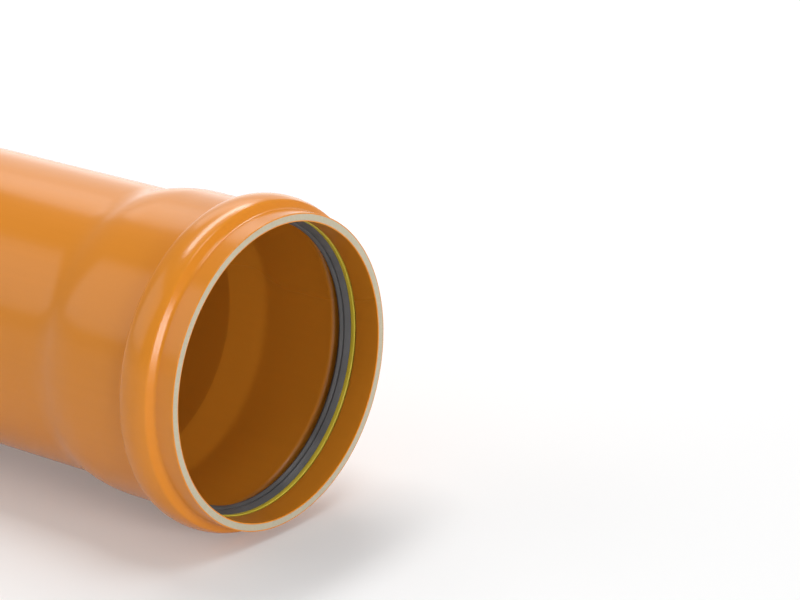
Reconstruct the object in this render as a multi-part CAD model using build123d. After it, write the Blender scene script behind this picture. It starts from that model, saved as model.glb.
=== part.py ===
"""Plastic sewer pipe with a formed push-fit socket, its lip seal and the ring that keeps the seal in.

The pipe lies level on its socket's bead, along X, with the mouth at +X.
Lengths are in millimetres. The origin is on the floor, under the middle of the pipe's length.
"""
import os
from math import radians, tan

from build123d import *

# Barrel
barrel_diameter = 160.0
wall = 4.7
laying_length = 1000.0  # spigot end to the bottom of the socket

# Spigot, the plain end that enters the next pipe's socket
chamfer_length = 7.0
chamfer_angle = 15.0  # degrees

# Socket: depths are from the mouth, clearances are radial, round a spigot
socket_depth = 79.0
socket_clearance = 0.25
collar_clearance = 1.5
cone_length = 23.0
inner_cone_start_bend = 25.0
inner_cone_end_bend = 8.0
outer_cone_start_bend = 60.0
outer_cone_end_bend = 40.0

# Groove for the seal, inside the bead
groove_front = 16.0
groove_width = 14.4
groove_depth = 7.2  # below the socket's bore
groove_front_lean = 0.3
groove_back_lean = 1.7
groove_back_bend = 3.5

# Bead, the outside of that groove
bead_front_wall = 3.9  # the wall is drawn thinner over the flanks
bead_back_wall = 5.6
bead_front_lean = 2.4
bead_back_lean = 2.8
bead_crown_rise = 1.75
bead_back_foot_bend = 2.5
bead_front_shoulder_bend = 3.0
bead_back_shoulder_bend = 5.0

# Retaining ring and seal, both seated in the groove
seat_gap = 0.3
ring_width = 2.6
ring_clearance = 1.3
seal_body_height = 5.2
lip_interference = 2.3  # radial, into a spigot
lip_reach = 4.7  # along the axis, from the ring to the front of the lip's tip
lip_root = 4.1  # along the axis, from the ring to the hollow behind the lip
lip_land = 1.0  # the flat of the lip's tip
notch_width = 0.9
notch_depth = 0.6
notch_place_share = 0.64  # down the front of the lip

barrel_radius = barrel_diameter / 2
bore_radius = barrel_radius - wall
spigot_radius = barrel_radius - chamfer_length * tan(radians(chamfer_angle))
socket_radius = barrel_radius + socket_clearance
collar_radius = barrel_radius + collar_clearance
groove_radius = socket_radius + groove_depth
crest_radius = groove_radius + wall
groove_back = groove_front + groove_width
total_length = laying_length + socket_depth
pipe_axis = Axis((0, 0, crest_radius), (1, 0, 0))


def at(depth, radius):
    # A point of the upper section, by its depth from the mouth and its distance from the axis
    return Vector(total_length / 2 - depth, 0, crest_radius + radius)


def turned(outline, bends=()):
    # The solid that a closed outline sweeps round the axis, with some of its corners rounded
    section = make_face(outline)
    for corner, bend in bends:
        section = fillet(section.vertices().sort_by_distance(corner)[0], bend)
    return revolve(section, pipe_axis)


def pipe():
    collar_outside = collar_radius + wall
    socket_outside = socket_radius + wall
    shoulder_radius = crest_radius - bead_crown_rise
    bead_front = groove_front - bead_front_wall
    bead_back = groove_back + bead_back_wall
    cone_end = socket_depth + cone_length

    front_foot = at(bead_front, collar_outside)
    front_shoulder = at(bead_front + bead_front_lean, shoulder_radius)
    crest = at((bead_front + bead_front_lean + bead_back - bead_back_lean) / 2, crest_radius)
    back_shoulder = at(bead_back - bead_back_lean, shoulder_radius)
    back_foot = at(bead_back, socket_outside)
    outer_cone_start = at(socket_depth, socket_outside)
    outer_cone_end = at(cone_end, barrel_radius)
    inner_cone_end = at(cone_end, bore_radius)
    inner_cone_start = at(socket_depth, socket_radius)
    groove_back_edge = at(groove_back, socket_radius)
    groove_back_root = at(groove_back - groove_back_lean, groove_radius)
    groove_front_root = at(groove_front + groove_front_lean, groove_radius)
    collar_edge = at(groove_front, collar_radius)

    outline = [
        Polyline(at(0, collar_radius), at(0, collar_outside), front_foot, front_shoulder),
        ThreePointArc(front_shoulder, crest, back_shoulder),
        Polyline(back_shoulder, back_foot, outer_cone_start, outer_cone_end,
                 at(total_length - chamfer_length, barrel_radius), at(total_length, spigot_radius),
                 at(total_length, bore_radius), inner_cone_end, inner_cone_start, groove_back_edge,
                 groove_back_root, groove_front_root, collar_edge, at(0, collar_radius)),
    ]
    bends = [
        (front_shoulder, bead_front_shoulder_bend),
        (back_shoulder, bead_back_shoulder_bend),
        (back_foot, bead_back_foot_bend),
        (outer_cone_start, outer_cone_start_bend),
        (outer_cone_end, outer_cone_end_bend),
        (inner_cone_end, inner_cone_end_bend),
        (inner_cone_start, inner_cone_start_bend),
        (groove_back_edge, groove_back_bend),
    ]
    return turned(outline, bends)


ring_front = groove_front + groove_front_lean + seat_gap
ring_back = ring_front + ring_width
ring_inside = barrel_radius + ring_clearance
seat_radius = groove_radius - seat_gap


def retaining_ring():
    outline = Polyline(at(ring_front, ring_inside), at(ring_front, seat_radius),
                       at(ring_back, seat_radius), at(ring_back, ring_inside), close=True)
    return turned(outline)


def seal_ring():
    seal_back = groove_back - groove_back_lean - seat_gap
    heel_radius = seat_radius - seal_body_height
    tip_depth = ring_back + lip_reach
    tip_radius = barrel_radius - lip_interference

    lip_top = at(ring_back, ring_inside)
    tip_front = at(tip_depth, tip_radius)
    tip_back = at(tip_depth + lip_land, tip_radius)
    lip_slope = (tip_front - lip_top).normalized()
    into_lip = Vector(lip_slope.Z, 0, -lip_slope.X)
    notch_middle = lip_top + (tip_front - lip_top) * notch_place_share
    notch_upper = notch_middle - lip_slope * (notch_width / 2)
    notch_lower = notch_middle + lip_slope * (notch_width / 2)
    notch_bottom = notch_middle + into_lip * notch_depth

    outline = Polyline(lip_top, at(ring_back, seat_radius), at(seal_back, seat_radius),
                       at(seal_back, heel_radius), at(ring_back + lip_root, heel_radius), tip_back,
                       tip_front, notch_lower, notch_bottom, notch_upper, close=True)
    return turned(outline)


os.makedirs("parts", exist_ok=True)
export_step(pipe(), "parts/pipe.step")
export_step(retaining_ring(), "parts/retaining_ring.step")
export_step(seal_ring(), "parts/seal_ring.step")
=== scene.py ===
import math

import bpy
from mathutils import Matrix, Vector


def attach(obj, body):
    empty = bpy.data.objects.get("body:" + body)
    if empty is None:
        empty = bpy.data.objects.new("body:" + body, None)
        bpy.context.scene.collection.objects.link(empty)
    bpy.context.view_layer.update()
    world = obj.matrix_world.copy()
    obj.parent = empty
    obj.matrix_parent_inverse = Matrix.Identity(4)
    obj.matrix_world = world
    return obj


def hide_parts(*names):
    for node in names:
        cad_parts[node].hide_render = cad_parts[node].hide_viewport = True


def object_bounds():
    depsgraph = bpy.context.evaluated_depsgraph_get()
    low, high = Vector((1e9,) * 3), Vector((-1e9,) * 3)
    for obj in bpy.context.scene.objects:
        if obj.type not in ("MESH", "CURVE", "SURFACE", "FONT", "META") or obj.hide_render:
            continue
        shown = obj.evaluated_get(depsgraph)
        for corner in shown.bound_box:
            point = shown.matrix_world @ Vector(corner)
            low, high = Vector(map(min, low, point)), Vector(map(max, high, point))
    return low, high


scene = bpy.context.scene
scene.view_settings.view_transform = "Standard"
millimetre = 0.001

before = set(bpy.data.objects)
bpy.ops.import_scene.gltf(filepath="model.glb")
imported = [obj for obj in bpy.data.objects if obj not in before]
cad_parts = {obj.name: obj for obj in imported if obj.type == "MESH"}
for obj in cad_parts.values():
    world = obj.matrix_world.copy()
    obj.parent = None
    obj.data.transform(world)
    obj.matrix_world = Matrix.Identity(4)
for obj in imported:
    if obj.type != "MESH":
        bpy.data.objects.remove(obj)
cadLow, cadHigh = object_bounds()
axisHeight = (cadLow.z + cadHigh.z) / 2
mouthPlane = cadHigh.x
print("frame loaded, axis at", round(axisHeight, 5), "and mouth at", round(mouthPlane, 5))


def addNode(tree, kind, x, y, **settings):
    node = tree.nodes.new(kind)
    node.location = (x, y)
    for name, value in settings.items():
        setattr(node, name, value)
    return node


def fill(node, values):
    for name, value in values.items():
        node.inputs[name].default_value = value


def addSockets(tree, inputs, outputs):
    for name, kind in inputs:
        tree.interface.new_socket(name, in_out="INPUT", socket_type="NodeSocket" + kind)
    for name, kind in outputs:
        tree.interface.new_socket(name, in_out="OUTPUT", socket_type="NodeSocket" + kind)


# Shader groups that the finishes share

cloudLook = {"detail": 4, "middle": 0.5, "low": 0.3, "high": 0.7}  # most of a noise lies from low to high


def addDrawnPlace(tree, given, x, y):
    # Object coordinates; a Stretch below 1 draws the pattern out along the pipe
    place = addNode(tree, "ShaderNodeTexCoord", x, y)
    squeeze = addNode(tree, "ShaderNodeCombineXYZ", x + 200, y + 140)
    fill(squeeze, {"Y": 1, "Z": 1})
    drawn = addNode(tree, "ShaderNodeVectorMath", x + 400, y + 60, operation="MULTIPLY")
    tree.links.new(given.outputs["Stretch"], squeeze.inputs["X"])
    tree.links.new(place.outputs["Object"], drawn.inputs[0])
    tree.links.new(squeeze.outputs["Vector"], drawn.inputs[1])
    return drawn.outputs["Vector"]


def makeMottleGroup(c):
    # Colour that drifts a little over the surface, and the cloud that it drifts by
    tree = bpy.data.node_groups.new("mottle", "ShaderNodeTree")
    addSockets(tree, [("Colour", "Color"), ("Scale", "Float"), ("Stretch", "Float"), ("Amount", "Float")],
               [("Colour", "Color"), ("Mask", "Float")])
    link = tree.links.new
    given = addNode(tree, "NodeGroupInput", -900, 0)
    made = addNode(tree, "NodeGroupOutput", 700, 0)
    cloud = addNode(tree, "ShaderNodeTexNoise", -300, -200)
    fill(cloud, {"Detail": c["detail"]})
    centred = addNode(tree, "ShaderNodeMath", -100, -200, operation="SUBTRACT")
    centred.inputs[1].default_value = c["middle"]
    weighed = addNode(tree, "ShaderNodeMath", 80, -200, operation="MULTIPLY_ADD")
    weighed.inputs[2].default_value = 1
    tinted = addNode(tree, "ShaderNodeVectorMath", 300, 0, operation="SCALE")
    link(addDrawnPlace(tree, given, -900, -260), cloud.inputs["Vector"])
    link(given.outputs["Scale"], cloud.inputs["Scale"])
    link(cloud.outputs["Fac"], centred.inputs[0])
    link(centred.outputs["Value"], weighed.inputs[0])
    link(given.outputs["Amount"], weighed.inputs[1])
    link(given.outputs["Colour"], tinted.inputs[0])
    link(weighed.outputs["Value"], tinted.inputs["Scale"])
    link(tinted.outputs["Vector"], made.inputs["Colour"])
    link(cloud.outputs["Fac"], made.inputs["Mask"])
    return tree


def makeGrainGroup():
    # Fine relief as a height from 0 to 1
    tree = bpy.data.node_groups.new("grain", "ShaderNodeTree")
    addSockets(tree, [("Scale", "Float"), ("Stretch", "Float"), ("Detail", "Float")], [("Height", "Float")])
    link = tree.links.new
    given = addNode(tree, "NodeGroupInput", -700, 0)
    made = addNode(tree, "NodeGroupOutput", 200, 0)
    cloud = addNode(tree, "ShaderNodeTexNoise", -100, -100)
    link(addDrawnPlace(tree, given, -700, -260), cloud.inputs["Vector"])
    link(given.outputs["Scale"], cloud.inputs["Scale"])
    link(given.outputs["Detail"], cloud.inputs["Detail"])
    link(cloud.outputs["Fac"], made.inputs["Height"])
    return tree


mottleGroup = makeMottleGroup(cloudLook)
grainGroup = makeGrainGroup()


def useGroup(tree, group, x, y, **values):
    node = addNode(tree, "ShaderNodeGroup", x, y, node_tree=group)
    fill(node, values)
    return node


def startMaterial(name):
    material = bpy.data.materials.new(name)
    material.use_nodes = True
    tree = material.node_tree
    return material, tree, tree.nodes["Principled BSDF"]


def spreadRoughness(tree, mask, shader, f):
    spread = addNode(tree, "ShaderNodeMapRange", -250, -120)
    fill(spread, {"From Min": cloudLook["low"], "From Max": cloudLook["high"],
                  "To Min": f["smoothest"], "To Max": f["roughest"]})
    tree.links.new(mask, spread.inputs["Value"])
    tree.links.new(spread.outputs["Result"], shader.inputs["Roughness"])


def raiseRelief(tree, height, shader, depth, below=None):
    bump = addNode(tree, "ShaderNodeBump", -250, -420 if below is None else -620)
    fill(bump, {"Strength": 1, "Distance": depth})
    tree.links.new(height, bump.inputs["Height"])
    if below is not None:
        tree.links.new(below.outputs["Normal"], bump.inputs["Normal"])
    tree.links.new(bump.outputs["Normal"], shader.inputs["Normal"])
    return bump


pipeFinish = {
    "orange": (0.68, 0.230, 0.012, 1),
    "driftScale": 6.0, "driftStretch": 0.4, "driftAmount": 0.10,
    "streakScale": 260.0, "streakStretch": 0.01, "streakAmount": 0.05,
    "smoothest": 0.18, "roughest": 0.23, "ior": 1.53, "specular": 0.38,
    "dieLineScale": 420.0, "dieLineStretch": 0.004, "dieLineDetail": 2, "dieLineDepth": 0.010 * millimetre,
    "peelScale": 160.0, "peelStretch": 0.5, "peelDetail": 1, "peelDepth": 0.012 * millimetre,
}
# The inside takes a darker, browner copy of the same orange, painted shade for the dim socket and bore, and
# is a little rougher
shadedBoreFinish = dict(pipeFinish, orange=(0.60, 0.222, 0.0175, 1), smoothest=0.26, roughest=0.33)


def makePipeSkin(name, f):
    material, tree, shader = startMaterial(name)
    drift = useGroup(tree, mottleGroup, -900, 200, Colour=f["orange"], Scale=f["driftScale"],
                     Stretch=f["driftStretch"], Amount=f["driftAmount"])
    streak = useGroup(tree, mottleGroup, -650, 200, Scale=f["streakScale"],
                      Stretch=f["streakStretch"], Amount=f["streakAmount"])
    tree.links.new(drift.outputs["Colour"], streak.inputs["Colour"])
    tree.links.new(streak.outputs["Colour"], shader.inputs["Base Color"])
    spreadRoughness(tree, drift.outputs["Mask"], shader, f)
    lines = useGroup(tree, grainGroup, -650, -420, Scale=f["dieLineScale"],
                     Stretch=f["dieLineStretch"], Detail=f["dieLineDetail"])
    peel = useGroup(tree, grainGroup, -650, -620, Scale=f["peelScale"],
                    Stretch=f["peelStretch"], Detail=f["peelDetail"])
    scored = raiseRelief(tree, lines.outputs["Height"], shader, f["dieLineDepth"])
    raiseRelief(tree, peel.outputs["Height"], shader, f["peelDepth"], below=scored)
    fill(shader, {"IOR": f["ior"], "Specular IOR Level": f["specular"]})
    return material


def makeGrainyFinish(name, f):
    # A cloudy colour over one fine grain, for the cut ends and the two rings
    material, tree, shader = startMaterial(name)
    cloud = useGroup(tree, mottleGroup, -900, 200, Colour=f["colour"], Scale=f["cloudScale"],
                     Stretch=1, Amount=f["cloudAmount"])
    tree.links.new(cloud.outputs["Colour"], shader.inputs["Base Color"])
    spreadRoughness(tree, cloud.outputs["Mask"], shader, f)
    grain = useGroup(tree, grainGroup, -650, -420, Scale=f["grainScale"], Stretch=1, Detail=f["grainDetail"])
    raiseRelief(tree, grain.outputs["Height"], shader, f["grainDepth"])
    return material


coreFinish = {  # beige core, as the saw leaves it
    "colour": (0.46, 0.414, 0.304, 1), "cloudScale": 900.0, "cloudAmount": 0.35,
    "smoothest": 0.62, "roughest": 0.75,
    "grainScale": 1500.0, "grainDetail": 3, "grainDepth": 0.03 * millimetre,
}
sealFinish = {  # black rubber with a grey bloom
    "colour": (0.070, 0.071, 0.074, 1), "cloudScale": 70.0, "cloudAmount": 0.6,
    "smoothest": 0.30, "roughest": 0.42,
    "grainScale": 1800.0, "grainDetail": 2, "grainDepth": 0.02 * millimetre,
}
ringFinish = {  # yellow, satin
    "colour": (0.62, 0.52, 0.05, 1), "cloudScale": 40.0, "cloudAmount": 0.15,
    "smoothest": 0.34, "roughest": 0.45,
    "grainScale": 1200.0, "grainDetail": 2, "grainDepth": 0.015 * millimetre,
}

pipeSkin = makePipeSkin("orangePvc", pipeFinish)
shadedPipeBore = makePipeSkin("orangePvcInsideShaded", shadedBoreFinish)
pipeCore = makeGrainyFinish("sawnCore", coreFinish)
sealRubber = makeGrainyFinish("mouldedRubber", sealFinish)
ringPlastic = makeGrainyFinish("yellowPolypropylene", ringFinish)
print("finishes made")


# One tree turns any section round the pipe's axis

turning = {
    "pathRadius": 80 * millimetre, "segments": 288, "sharpAngle": math.radians(24),
    "smallBend": 1.5, "fewSteps": 5, "manySteps": 12,  # points on a bend, by its radius in mm
    "whollyLayer": 0.99,
}


def makeTurningTree(t):
    tree = bpy.data.node_groups.new("turnedSection", "GeometryNodeTree")
    tree.is_modifier = True
    addSockets(tree, [("Section", "Geometry"), ("Path radius", "Float"), ("Segments", "Int"),
                      ("Axis height", "Float"), ("Mouth plane", "Float"), ("Sharp angle", "Float"),
                      ("Surface", "Material"), ("Core", "Material"), ("Inside", "Material")],
               [("Body", "Geometry")])
    link = tree.links.new
    given = addNode(tree, "NodeGroupInput", -1200, 0)
    made = addNode(tree, "NodeGroupOutput", 1760, 0)

    def readLayer(name, kind, x, y):
        stored = addNode(tree, "GeometryNodeInputNamedAttribute", x, y, data_type=kind)
        fill(stored, {"Name": name})
        return stored.outputs["Attribute"]

    def isAbove(x, y):
        return addNode(tree, "FunctionNodeCompare", x, y, data_type="FLOAT", operation="GREATER_THAN")

    # The section's corners, rounded
    outline = addNode(tree, "GeometryNodeMeshToCurve", -950, 200)
    rounded = addNode(tree, "GeometryNodeFilletCurve", -700, 200, mode="POLY")
    link(given.outputs["Section"], outline.inputs["Mesh"])
    link(outline.outputs["Curve"], rounded.inputs["Curve"])
    link(readLayer("bend", "FLOAT", -950, -100), rounded.inputs["Radius"])
    link(readLayer("steps", "INT", -950, -260), rounded.inputs["Count"])

    # Swept round a circle and laid along X
    path = addNode(tree, "GeometryNodeCurvePrimitiveCircle", -700, -100)
    upright = addNode(tree, "GeometryNodeSetCurveNormal", -480, -100, mode="Z_UP")
    swept = addNode(tree, "GeometryNodeCurveToMesh", -240, 100)
    lift = addNode(tree, "ShaderNodeCombineXYZ", -240, -200)
    laid = addNode(tree, "GeometryNodeTransform", 0, 100)
    fill(laid, {"Rotation": (0, math.pi / 2, 0)})
    link(given.outputs["Path radius"], path.inputs["Radius"])
    link(given.outputs["Segments"], path.inputs["Resolution"])
    link(path.outputs["Curve"], upright.inputs["Curve"])
    link(upright.outputs["Curve"], swept.inputs["Curve"])
    link(rounded.outputs["Curve"], swept.inputs["Profile Curve"])
    link(given.outputs["Mouth plane"], lift.inputs["X"])
    link(given.outputs["Axis height"], lift.inputs["Z"])
    link(swept.outputs["Mesh"], laid.inputs["Geometry"])
    link(lift.outputs["Vector"], laid.inputs["Translation"])

    # Smooth, with sharp edges kept
    smooth = addNode(tree, "GeometryNodeSetShadeSmooth", 220, 100, domain="FACE")
    angle = addNode(tree, "GeometryNodeInputMeshEdgeAngle", 220, -150)
    isSharp = isAbove(420, -150)
    creased = addNode(tree, "GeometryNodeSetShadeSmooth", 620, 100, domain="EDGE")
    fill(creased, {"Shade Smooth": False})
    real = addNode(tree, "GeometryNodeRealizeInstances", 820, 100)
    link(laid.outputs["Geometry"], smooth.inputs["Geometry"])
    link(smooth.outputs["Geometry"], creased.inputs["Geometry"])
    link(angle.outputs["Unsigned Angle"], isSharp.inputs["A"])
    link(given.outputs["Sharp angle"], isSharp.inputs["B"])
    link(isSharp.outputs["Result"], creased.inputs["Selection"])
    link(creased.outputs["Geometry"], real.inputs["Geometry"])

    # The surface's finish, then the layers that show through or line it
    dressed = addNode(tree, "GeometryNodeSetMaterial", 1020, 100)
    link(real.outputs["Geometry"], dressed.inputs["Geometry"])
    link(given.outputs["Surface"], dressed.inputs["Material"])
    for layer, finish, x, y in (("core", "Core", 1260, -150), ("bore", "Inside", 1500, -350)):
        shows = isAbove(x - 240, y)
        fill(shows, {"B": t["whollyLayer"]})
        layered = addNode(tree, "GeometryNodeSetMaterial", x, 100)
        link(readLayer(layer, "FLOAT", x - 440, y), shows.inputs["A"])
        link(shows.outputs["Result"], layered.inputs["Selection"])
        link(dressed.outputs["Geometry"], layered.inputs["Geometry"])
        link(given.outputs[finish], layered.inputs["Material"])
        dressed = layered
    link(dressed.outputs["Geometry"], made.inputs["Body"])
    return tree


turningTree = makeTurningTree(turning)


def bendSteps(bend, t):
    if bend == 0:
        return 0
    return t["fewSteps"] if bend < t["smallBend"] else t["manySteps"]


def turn(name, corners, surface, core=None, inside=None):
    # corners: depth from the mouth, radius and bend in mm, and the layer that shows there
    section = bpy.data.meshes.new(name + "Section")
    count = len(corners)
    depths, radii, bends, layers = zip(*corners)
    places = [(radius * millimetre - turning["pathRadius"], depth * millimetre, 0)
              for depth, radius in zip(depths, radii)]
    section.from_pydata(places, [(i, (i + 1) % count) for i in range(count)], [])
    for attribute, kind, values in (
            ("bend", "FLOAT", [bend * millimetre for bend in bends]),
            ("steps", "INT", [bendSteps(bend, turning) for bend in bends]),
            ("core", "FLOAT", [float(layer == "core") for layer in layers]),
            ("bore", "FLOAT", [float(layer == "bore") for layer in layers])):
        section.attributes.new(attribute, kind, "POINT").data.foreach_set("value", values)
    piece = bpy.data.objects.new(name, section)
    scene.collection.objects.link(piece)
    modifier = piece.modifiers.new("turn", "NODES")
    modifier.node_group = turningTree
    socket = {item.name: item.identifier for item in turningTree.interface.items_tree
              if item.in_out == "INPUT"}
    modifier[socket["Path radius"]] = turning["pathRadius"]
    modifier[socket["Segments"]] = turning["segments"]
    modifier[socket["Axis height"]] = axisHeight
    modifier[socket["Mouth plane"]] = mouthPlane
    modifier[socket["Sharp angle"]] = turning["sharpAngle"]
    modifier[socket["Surface"]] = surface
    modifier[socket["Core"]] = core or surface
    modifier[socket["Inside"]] = inside or surface
    evaluated = piece.evaluated_get(bpy.context.evaluated_depsgraph_get())
    turnedMesh = bpy.data.meshes.new_from_object(evaluated)
    piece.modifiers.clear()
    piece.data = turnedMesh
    print(name, "turned,", len(turnedMesh.polygons), "faces")
    return piece


pipeSizes = {  # millimetres, depths from the mouth
    "barrelRadius": 80.0, "wall": 4.7, "length": 1079.0, "skin": 0.65, "endBend": 0.25,
    "chamferLength": 7.0, "chamferDrop": 1.876, "chamferBend": 0.4,
    "socketDepth": 79.0, "socketRadius": 80.25, "collarRadius": 81.5, "coneLength": 23.0,
    "coneStart": 81.5, "coneStop": 99.35,  # the steep middle of the outer cone
    "coneStartBend": 80, "coneStopBend": 55, "innerStartBend": 25, "innerEndBend": 8,
    "grooveFront": 16.0, "grooveBack": 30.4, "grooveRadius": 87.45,
    "grooveFrontLean": 0.3, "grooveBackLean": 1.7,
    "rimBend": 0.8, "rootBend": 1.0, "grooveBackBend": 3.5,
    "beadFront": 12.2, "beadBack": 36.0, "beadFrontLean": 2.7, "beadBackLean": 2.8,
    "shoulderRadius": 90.4, "crownRise": 1.75,
    "frontFootBend": 2.6, "frontShoulderBend": 3.0, "backShoulderBend": 5.0, "backFootBend": 2.5,
    # straight runs that keep each bend and layer to its own corner
    "endRun": 1, "spigotRun": 2, "frontFootRun": 2, "chamferRun": 3, "shortRun": 4,
    "coneRunIn": 14, "coneRunOut": 12,
}


def crownPoints(first, last, edgeRadius, rise):
    # Points of the flat arc between the bead's two shoulders, clear of the shoulders' own bends
    middle, half = (first + last) / 2, (last - first) / 2
    arc = (half ** 2 + rise ** 2) / (2 * rise)
    offsets = [half * share / 10 for share in range(-7, 8)]  # up to 0.7 of the way to each shoulder
    return [(middle + x, edgeRadius + rise - arc + math.sqrt(arc ** 2 - x ** 2), 0, "skin") for x in offsets]


def pipeSection(p):
    barrel, socket, collar = p["barrelRadius"], p["socketRadius"], p["collarRadius"]
    collarOutside = collar + p["wall"]
    socketOutside = socket + p["wall"]
    bore = barrel - p["wall"]
    coneEnd = p["socketDepth"] + p["coneLength"]
    end = p["length"]
    chamferStart = end - p["chamferLength"]
    skin = p["skin"]
    skinRun = p["chamferLength"] * skin / p["chamferDrop"]
    frontShoulder = p["beadFront"] + p["beadFrontLean"]
    backShoulder = p["beadBack"] - p["beadBackLean"]
    mouth = [
        (0, collar, p["endBend"], "skin"),
        (0, collar + skin, 0, "core"),
        (0, collarOutside - skin, 0, "core"),
        (0, collarOutside, p["endBend"], "skin"),
        (p["endRun"], collarOutside, 0, "skin"),
    ]
    bead = [
        (p["beadFront"] - p["frontFootRun"], collarOutside, 0, "skin"),
        (p["beadFront"], collarOutside, p["frontFootBend"], "skin"),
        (frontShoulder, p["shoulderRadius"], p["frontShoulderBend"], "skin"),
        *crownPoints(frontShoulder, backShoulder, p["shoulderRadius"], p["crownRise"]),
        (backShoulder, p["shoulderRadius"], p["backShoulderBend"], "skin"),
        (p["beadBack"], socketOutside, p["backFootBend"], "skin"),
        (p["beadBack"] + p["shortRun"], socketOutside, 0, "skin"),
    ]
    outerCone = [
        (p["socketDepth"] - p["coneRunIn"], socketOutside, 0, "skin"),
        (p["coneStart"], socketOutside, p["coneStartBend"], "skin"),
        (p["coneStop"], barrel, p["coneStopBend"], "skin"),
        (coneEnd + p["coneRunOut"], barrel, 0, "skin"),
    ]
    spigot = [
        (chamferStart - p["chamferRun"], barrel, 0, "skin"),
        (chamferStart, barrel, p["chamferBend"], "skin"),
        (chamferStart + skinRun, barrel - skin, 0, "core"),
        (end, barrel - p["chamferDrop"], 0, "core"),
        (end, bore + skin, 0, "core"),
        (end, bore, p["endBend"], "skin"),
        (end - p["spigotRun"], bore, 0, "bore"),
    ]
    innerCone = [
        (coneEnd + p["shortRun"], bore, 0, "bore"),
        (coneEnd, bore, p["innerEndBend"], "bore"),
        (p["socketDepth"], socket, p["innerStartBend"], "bore"),
        (p["socketDepth"] - p["shortRun"], socket, 0, "bore"),
    ]
    groove = [
        (p["grooveBack"] + p["shortRun"], socket, 0, "bore"),
        (p["grooveBack"], socket, p["grooveBackBend"], "bore"),
        (p["grooveBack"] - p["grooveBackLean"], p["grooveRadius"], p["rootBend"], "bore"),
        (p["grooveFront"] + p["grooveFrontLean"], p["grooveRadius"], p["rootBend"], "bore"),
        (p["grooveFront"], collar, p["rimBend"], "bore"),
        (p["endRun"], collar, 0, "bore"),
    ]
    return mouth + bead + outerCone + spigot + innerCone + groove


sealSizes = {  # seated behind the retaining ring
    "front": 19.2, "back": 28.4, "seatRadius": 87.15, "topRadius": 81.3, "heelRadius": 81.95,
    "hollow": 23.3, "tipFront": 23.9, "tipBack": 24.9, "tipRadius": 77.7,
    "notchShare": 0.64, "notchWidth": 0.9, "notchDepth": 0.6,
    "topBend": 0.3, "seatBend": 0.4, "heelBend": 0.6, "hollowBend": 0.8,
    "tipBackBend": 0.3, "tipFrontBend": 0.4, "notchBend": 0.12,
}


def sealSection(s):
    run, drop = s["tipFront"] - s["front"], s["tipRadius"] - s["topRadius"]
    slope = math.hypot(run, drop)
    alongDepth, alongRadius = run / slope, drop / slope
    notchDepth = s["front"] + run * s["notchShare"]
    notchRadius = s["topRadius"] + drop * s["notchShare"]
    half, cut = s["notchWidth"] / 2, s["notchDepth"]
    return [
        (s["front"], s["topRadius"], s["topBend"], "skin"),
        (s["front"], s["seatRadius"], s["seatBend"], "skin"),
        (s["back"], s["seatRadius"], s["seatBend"], "skin"),
        (s["back"], s["heelRadius"], s["heelBend"], "skin"),
        (s["hollow"], s["heelRadius"], s["hollowBend"], "skin"),
        (s["tipBack"], s["tipRadius"], s["tipBackBend"], "skin"),
        (s["tipFront"], s["tipRadius"], s["tipFrontBend"], "skin"),
        (notchDepth + alongDepth * half, notchRadius + alongRadius * half, s["notchBend"], "skin"),
        (notchDepth - alongRadius * cut, notchRadius + alongDepth * cut, 0, "skin"),
        (notchDepth - alongDepth * half, notchRadius - alongRadius * half, s["notchBend"], "skin"),
    ]


ringSizes = {"front": 16.6, "back": 19.2, "inside": 81.3, "outside": 87.15, "edgeBend": 0.3}


def ringSection(r):
    bend = r["edgeBend"]
    return [(r["front"], r["inside"], bend, "skin"), (r["front"], r["outside"], bend, "skin"),
            (r["back"], r["outside"], bend, "skin"), (r["back"], r["inside"], bend, "skin")]


pipe = turn("pipe_turned", pipeSection(pipeSizes), pipeSkin, pipeCore, shadedPipeBore)
seal = turn("seal_ring_turned", sealSection(sealSizes), sealRubber)
ring = turn("retaining_ring_turned", ringSection(ringSizes), ringPlastic)

for piece, node, finish in ((pipe, "pipe", "pipe_wall"), (seal, "seal_ring", "seal_rubber"),
                            (ring, "retaining_ring", "ring_plastic")):
    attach(piece, "root")
    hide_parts(node)


# Floor, light and camera

floorLook = {
    "radius": 40.0, "sides": 96, "white": (0.74, 0.74, 0.74, 1),
    "nearLift": 0.16, "farLift": 0.8, "nearEdge": 1.3, "farEdge": 3.0,  # paler away from the pipe
}


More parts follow.
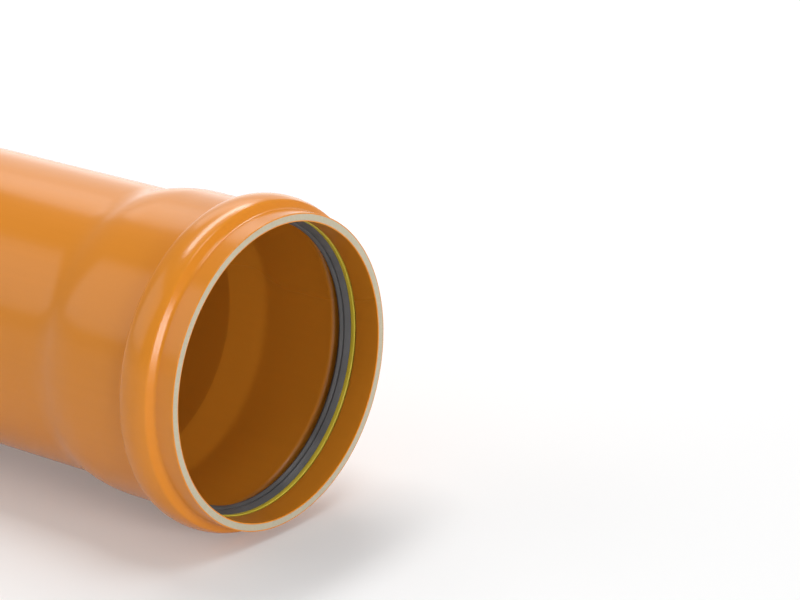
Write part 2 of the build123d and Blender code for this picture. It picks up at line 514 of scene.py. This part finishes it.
def makeFloor(f):
    mesh = bpy.data.meshes.new("floor")
    turns = [2 * math.pi * i / f["sides"] for i in range(f["sides"])]
    rim = [(f["radius"] * math.cos(a), f["radius"] * math.sin(a), 0) for a in turns]
    mesh.from_pydata(rim, [], [list(range(f["sides"]))])
    floor = bpy.data.objects.new("floor", mesh)
    scene.collection.objects.link(floor)
    material, tree, shader = startMaterial("whiteFloor")
    tree.nodes.remove(shader)
    matt = addNode(tree, "ShaderNodeBsdfDiffuse", -200, 100)
    fill(matt, {"Color": f["white"]})
    ray = addNode(tree, "ShaderNodeLightPath", -700, -100)
    seen = addNode(tree, "ShaderNodeMath", -500, -60, operation="MAXIMUM")
    seenAny = addNode(tree, "ShaderNodeMath", -350, -100, operation="MAXIMUM")
    place = addNode(tree, "ShaderNodeTexCoord", -900, -320)
    away = addNode(tree, "ShaderNodeVectorMath", -700, -320, operation="LENGTH")
    spread = addNode(tree, "ShaderNodeMapRange", -500, -320, interpolation_type="SMOOTHSTEP")
    fill(spread, {"From Min": f["nearEdge"], "From Max": f["farEdge"],
                  "To Min": f["nearLift"], "To Max": f["farLift"]})
    lift = addNode(tree, "ShaderNodeMath", -200, -120, operation="MULTIPLY")
    glow = addNode(tree, "ShaderNodeEmission", -20, -100)
    both = addNode(tree, "ShaderNodeAddShader", 160, 0)
    link = tree.links.new
    link(ray.outputs["Is Camera Ray"], seen.inputs[0])
    link(ray.outputs["Is Glossy Ray"], seen.inputs[1])
    link(seen.outputs["Value"], seenAny.inputs[0])
    link(ray.outputs["Is Transmission Ray"], seenAny.inputs[1])
    link(place.outputs["Object"], away.inputs[0])
    link(away.outputs["Value"], spread.inputs["Value"])
    link(seenAny.outputs["Value"], lift.inputs[0])
    link(spread.outputs["Result"], lift.inputs[1])
    link(lift.outputs["Value"], glow.inputs["Strength"])
    link(matt.outputs["BSDF"], both.inputs[0])
    link(glow.outputs["Emission"], both.inputs[1])
    link(both.outputs["Shader"], tree.nodes["Material Output"].inputs["Surface"])
    mesh.materials.append(material)


makeFloor(floorLook)

roomLight = {"horizon": 0.8, "zenith": 0.37, "fadeFrom": 0.06, "fadeTo": 0.2}


def makeRoom(r):
    # A pale room: brightest round the horizon, dimmer overhead
    world = bpy.data.worlds.new("paleRoom")
    world.use_nodes = True
    scene.world = world
    tree = world.node_tree
    background = tree.nodes["Background"]
    fill(background, {"Color": (1, 1, 1, 1)})
    way = addNode(tree, "ShaderNodeTexCoord", -900, 0)
    parts = addNode(tree, "ShaderNodeSeparateXYZ", -700, 0)
    fade = addNode(tree, "ShaderNodeMapRange", -500, 0, interpolation_type="SMOOTHSTEP")
    fill(fade, {"From Min": r["fadeFrom"], "From Max": r["fadeTo"],
                "To Min": r["horizon"], "To Max": r["zenith"]})
    tree.links.new(way.outputs["Generated"], parts.inputs["Vector"])
    tree.links.new(parts.outputs["Z"], fade.inputs["Value"])
    tree.links.new(fade.outputs["Result"], background.inputs["Strength"])


makeRoom(roomLight)

lampTarget = (0.35, 0, 0)
lamps = {  # size across and up and place in metres, power in watts; the strip hangs flat, turned in degrees
    "ceilingStrip": {"size": (0.4, 2.6), "place": (-0.41, 0.9, 2.38), "power": 36, "turn": 6},
    "mouthFill": {"size": (0.7, 0.5), "place": (2.73, -0.05, 0.34), "power": 9.5, "gloss": False},
    "mouthSoftbox": {"size": (0.85, 0.7), "place": (2.55, -0.72, 0.49), "power": 17},
    "highMouthSoftbox": {"size": (0.9, 0.8), "place": (1.17, 0, 2.26), "power": 8.5},
    "backSoftbox": {"size": (2.1, 1.3), "place": (-1.06, 1.81, 0.7), "power": 6.6},
    "highBackSoftbox": {"size": (1.5, 0.8), "place": (-0.82, 1.3, 1.64), "power": 6.5},
    "frontSoftbox": {"size": (1.7, 1.6), "place": (-0.98, -1.48, 1.34), "power": 10},
}


def makeLamp(name, l):
    lamp = bpy.data.lights.new(name, "AREA")
    lamp.shape = "RECTANGLE"
    lamp.size, lamp.size_y = l["size"]
    lamp.energy = l["power"]
    holder = bpy.data.objects.new(name, lamp)
    scene.collection.objects.link(holder)
    holder.location = l["place"]
    if "turn" in l:
        holder.rotation_euler.z = math.radians(l["turn"])
    else:
        aim = Vector(lampTarget) - Vector(l["place"])
        holder.rotation_euler = aim.to_track_quat("-Z", "Y").to_euler()
    holder.visible_camera = False
    holder.visible_glossy = l.get("gloss", True)  # off, it lights the socket without glare along the barrel


for lampName, lampSet in lamps.items():
    makeLamp(lampName, lampSet)

cameraSet = {
    "lens": 156.7, "sensor": 36, "azimuth": 38.4, "elevation": 19.0,
    "fromMouth": (1.1203, -1.3129, 0.6347), "clip": (0.01, 200),
}


def makeCamera(c):
    camera = bpy.data.objects.new("camera", bpy.data.cameras.new("camera"))
    scene.collection.objects.link(camera)
    camera.data.lens = c["lens"]
    camera.data.sensor_width = c["sensor"]
    camera.data.clip_start, camera.data.clip_end = c["clip"]
    around, tilt = math.radians(c["azimuth"]), math.radians(c["elevation"])
    back = Vector((math.sin(around) * math.cos(tilt), -math.cos(around) * math.cos(tilt), math.sin(tilt)))
    camera.location = Vector((mouthPlane, 0, axisHeight)) + Vector(c["fromMouth"])
    camera.rotation_euler = (-back).to_track_quat("-Z", "Y").to_euler()
    scene.camera = camera


makeCamera(cameraSet)
print("stage set")
